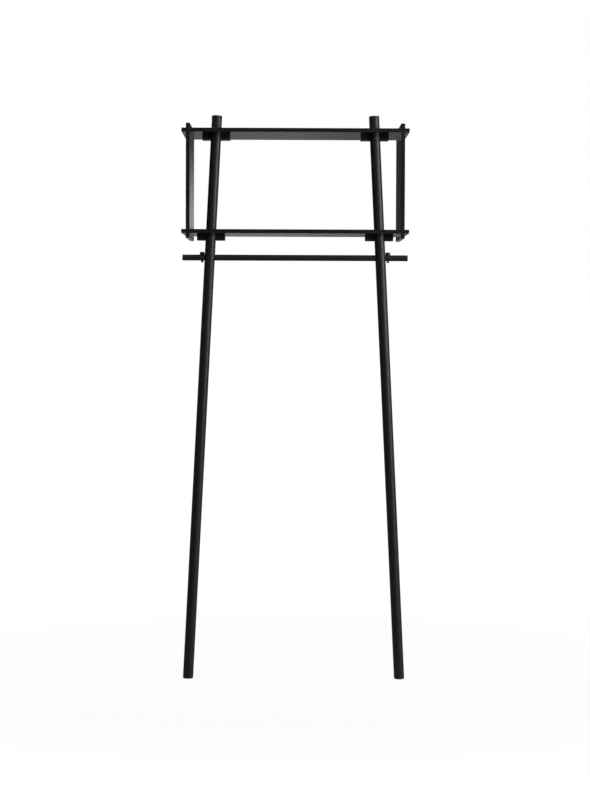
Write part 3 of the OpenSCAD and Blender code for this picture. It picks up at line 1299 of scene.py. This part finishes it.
@dataclass
class WallBrackets:
    """The two angle brackets that hold the top shelf at the wall."""

    steel: float = 2 * MM
    corner: float = 4 * MM
    bend: float = 1.6 * MM
    edge_faces: int = 6
    wall_hole_height: float = 13 * MM
    wall_hole_radius: float = 2.5 * MM
    screw_inset: float = 18 * MM
    screw_radius: float = 2 * MM
    screw_fit: float = 0.1 * MM
    pan_radius: float = 4 * MM
    pan_height: float = 2.4 * MM
    bite: float = 8 * MM

    def build(self) -> None:
        """Makes both brackets and their screws."""
        steel = CoatedSteel("steel_wall_brackets").material()
        screws = []
        for side in Side:
            node = f"{side.word}_wall_bracket"
            low, high = node_box(node)
            self.bracket(node, low, high, steel)
            spot = Vector(((low.x + high.x) / 2, high.y - self.screw_inset, low.z))
            screws.append(moved(self.screw(), Matrix.Translation(spot)))
        coated = CoatedSteel("steel_bracket_screws").material()
        make(merged(screws), "bracket_screws", coated, weighted=False)

    def bracket(self, node: str, low: Vector, high: Vector, steel: Material) -> None:
        """One angle bracket with rounded leaves and a rounded bend.

        Args:
            node: the bracket's node.
            low: its lowest corner.
            high: its highest corner.
            steel: its finish.
        """
        shape = bmesh.new()
        inner_y = high.y - self.steel
        inner_z = low.z + self.steel
        outline = [
            (high.y, low.z), (high.y, high.z), (inner_y, high.z),
            (inner_y, inner_z), (low.y, inner_z), (low.y, low.z),
        ]
        section = shape.faces.new([shape.verts.new((low.x, y, z)) for y, z in outline])
        swept = bmesh.ops.extrude_face_region(shape, geom=[section])
        far = [part for part in swept["geom"] if isinstance(part, bmesh.types.BMVert)]
        bmesh.ops.translate(shape, vec=(high.x - low.x, 0, 0), verts=far)
        bmesh.ops.recalc_face_normals(shape, faces=shape.faces)
        round_edges(shape, edges_at(shape, y=inner_y, z=inner_z), self.bend, self.edge_faces)
        ends = edges_at(shape, y=low.y) + edges_at(shape, z=high.z)
        through_sheet = [edge for edge in ends if edge.calc_length() < 1.5 * self.steel]
        round_edges(shape, through_sheet, self.corner, self.edge_faces)
        middle = (low.x + high.x) / 2
        wall = Vector((middle, high.y, low.z + self.wall_hole_height))
        leaf = Vector((middle, high.y - self.screw_inset, low.z))
        through = BACK * (3 * self.steel)
        down = UP * (3 * self.steel)
        holes = [
            round_bore(wall - through, wall + through, self.wall_hole_radius),
            round_bore(leaf - down, leaf + down, self.screw_radius + self.screw_fit),
        ]
        make(shape, node, steel, holes)

    def screw(self) -> Shape:
        """A pan-head wood screw, point down, on top of the bracket's leaf.

        Returns:
            The screw, with the leaf's underside at zero.
        """
        top = self.steel + self.pan_height
        crown = rounding(self.pan_radius, top, self.pan_height / 2, True)
        radius = self.screw_radius
        shape = lathe([
            (0.0, -self.bite), (radius * POINT_SHARE, -self.bite), (radius, radius - self.bite),
            (radius, self.steel), (self.pan_radius, self.steel), *crown, (0.0, top),
        ])
        return cross_slotted(shape, self.pan_radius, top)


@dataclass
class InnerMetal:
    """The studs, sleeves and inserts inside the legs, which keep the frame's meshes."""

    zinc_nodes: tuple[str, ...] = ("left_leg_stud", "right_leg_stud")
    brass_nodes: tuple[str, ...] = ("left_stud_sleeve", "right_stud_sleeve", "leg_inserts")

    def build(self) -> None:
        """Gives the inner pieces their finishes."""
        zinc = BareMetal("zinc_studs", bright=(0.60, 0.61, 0.63), dull=(0.42, 0.43, 0.44))
        brass = BareMetal("brass_threads", bright=(0.74, 0.56, 0.27), dull=(0.50, 0.36, 0.16), satin=0.26)
        self.coat(self.zinc_nodes, zinc.material())
        self.coat(self.brass_nodes, brass.material())

    def coat(self, nodes: tuple[str, ...], material: Material) -> None:
        """Assigns a finish to some of the frame's nodes.

        Args:
            nodes: the nodes.
            material: the finish.
        """
        for node in nodes:
            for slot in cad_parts[node].material_slots:
                slot.material = material
            log.info("%s keeps the frame's mesh", node)


# ---------------------------------------------------------------- studio


@dataclass(frozen=True)
class Lamp:
    """An area lamp that the camera doesn't see.

    Its size is its width and height, and sheen says whether it shows in the satin surfaces.
    """

    name: str
    spot: Triple
    aim: Triple
    size: Pair
    watts: float
    sheen: bool = True

    def hang(self) -> None:
        """Adds the lamp to the scene."""
        data = bpy.data.lights.new(self.name, "AREA")
        data.shape = "RECTANGLE"
        data.size, data.size_y = self.size
        data.energy = self.watts
        lamp = bpy.data.objects.new(self.name, data)
        spot = Vector(self.spot)
        turn = (Vector(self.aim) - spot).to_track_quat("-Z", "Y").to_matrix().to_4x4()
        lamp.matrix_world = Matrix.Translation(spot) @ turn
        lamp.visible_camera = False
        lamp.visible_glossy = self.sheen
        bpy.context.scene.collection.objects.link(lamp)


@dataclass
class Studio:
    """A white studio: pale floor, soft lamps and the camera of the photograph.

    The far floor, a faint lane on its left half and a low backdrop behind on the right show in the satin
    surfaces only. Each pair of numbers is a ramp: where it starts and where it is full, in metres on the
    floor and as a share of the direction's length in the surround.
    """

    lens_mm: float = 104.0
    sensor_mm: float = 36.0
    eye: Triple = (-0.0190, -6.9715, 1.0957)
    heading_deg: float = -0.170
    down_deg: float = 1.998
    roll_deg: float = 0.212
    sight: float = 100.0
    floor_half: float = 300.0
    floor_glow: float = 1.05
    shadow_share: float = 0.09
    shadow_reach: Pair = (0.9, 2.4)
    pale_floor: Pair = (-1.2, 0.6)
    near_paint: Triple = (0.14, 0.14, 0.14)
    back_paint: Triple = (0.28, 0.28, 0.28)
    paint_matt: float = 0.9
    far_floor: Pair = (42.0, 58.0)
    lane_start: Pair = (8.0, 12.0)
    lane_edge: Pair = (0.8, 0.1)
    lane_white: float = 0.065
    dim: float = 0.035
    overhead: float = 0.25
    overhead_rise: Pair = (0.10, 0.40)
    backdrop: float = 0.88
    backdrop_right: Pair = (-0.02, 0.12)
    backdrop_back: Pair = (0.4, 0.9)
    backdrop_foot: Pair = (0.035, 0.037)
    backdrop_top: Pair = (0.080, 0.03)
    lamps: tuple[Lamp, ...] = (
        Lamp("key", spot=(2.95, -1.55, 2.15), aim=(0.1, -0.1, 1.4), size=(0.42, 2.5), watts=76),
        Lamp("fill", spot=(1.30, -1.40, 1.8), aim=(0.2, -0.15, 1.4), size=(0.6, 1.6), watts=19, sheen=False),
        Lamp("top", spot=(-1.6, 1.6, 3.9), aim=(0, 0, 1.2), size=(2.4, 2.4), watts=90),
        Lamp("rear", spot=(1.3, 3.0, 4.1), aim=(0, 0, 1.5), size=(0.9, 1.2), watts=50),
    )

    def build(self) -> None:
        """Makes the camera, the floor, the world and the lamps."""
        self.camera()
        self.floor()
        self.world()
        for lamp in self.lamps:
            lamp.hang()
        bpy.context.scene.view_settings.view_transform = "Standard"

    def camera(self) -> None:
        """Places the camera and makes it the scene's."""
        data = bpy.data.cameras.new("camera")
        data.lens = self.lens_mm
        data.sensor_width = self.sensor_mm
        data.sensor_fit = "AUTO"
        data.clip_end = self.sight
        camera = bpy.data.objects.new("camera", data)
        turn = Matrix.Rotation(math.radians(self.heading_deg), 4, "Z")
        tip = Matrix.Rotation(math.radians(90 - self.down_deg), 4, "X")
        roll = Matrix.Rotation(math.radians(self.roll_deg), 4, "Z")
        camera.matrix_world = Matrix.Translation(self.eye) @ turn @ tip @ roll
        bpy.context.scene.collection.objects.link(camera)
        bpy.context.scene.camera = camera

    def floor(self) -> None:
        """A white floor that keeps the soft shadow of the feet and shows white in the boards from afar.

        Near the stand the satin surfaces see its grey paint, on the left a lane that is a little lighter.
        """
        shape = bmesh.new()
        bmesh.ops.create_grid(shape, x_segments=1, y_segments=1, size=self.floor_half)
        floor = to_object(shape, "floor")
        recipe = Recipe("floor_white")
        x, y, _ = recipe.split(recipe.place())
        reach = (x * x + y * y) ** 0.5
        seen = recipe.node("LightPath", output="Is Camera Ray")
        white = seen * (reach.ramp(*self.shadow_reach) * self.shadow_share + (1 - self.shadow_share))
        mirrored = recipe.node("LightPath", output="Is Glossy Ray")
        lane = y.ramp(*self.lane_start) * x.ramp(*self.lane_edge) * self.lane_white
        white = white + mirrored * y.ramp(*self.far_floor).math("MAXIMUM", lane)
        glow = recipe.node("Emission", inputs={"Color": WHITE, "Strength": self.floor_glow})
        grey = recipe.blend(y.ramp(*self.pale_floor), self.near_paint, self.back_paint)
        plain = {"Roughness": self.paint_matt, "Specular IOR Level": 0.0}
        floor.data.materials.append(recipe.finish(plain, base_color=grey))
        recipe.show(recipe.node("MixShader", inputs={0: white, 1: recipe.paint, 2: glow}))

    def world(self) -> None:
        """A white background for the camera and a dim surround with a low backdrop for the object."""
        world = bpy.data.worlds.new("studio")
        bpy.context.scene.world = world
        world.use_nodes = True
        wiring = Wiring(world.node_tree)
        right, back, up = wiring.split(wiring.node("TexCoord", output="Generated"))
        band = up.ramp(*self.backdrop_foot) * up.ramp(*self.backdrop_top)
        bright = right.ramp(*self.backdrop_right) * back.ramp(*self.backdrop_back) * band
        strength = bright * self.backdrop + up.ramp(*self.overhead_rise) * self.overhead + self.dim
        surround = wiring.node("Background", inputs={"Color": WHITE, "Strength": strength})
        white = wiring.node("Background", inputs={"Color": WHITE, "Strength": 1.0})
        camera_ray = wiring.node("LightPath", output="Is Camera Ray")
        passing_ray = wiring.node("LightPath", output="Is Transmission Ray")
        inputs = {0: camera_ray + passing_ray, 1: surround, 2: white}
        wiring.add("OutputWorld", inputs={"Surface": wiring.node("MixShader", inputs=inputs)})


def main() -> None:
    """Builds the studio, then the stand sub-assembly by sub-assembly."""
    logging.basicConfig(level=logging.INFO, format="%(name)s: %(message)s")
    poles = {side: Pole(side) for side in Side}
    Studio().build()
    Box(poles).build()
    Legs(poles).build()
    Blocks(poles).build()
    HangingRod().build()
    WallBrackets().build()
    InnerMetal().build()


if __name__ == "__main__":
    main()
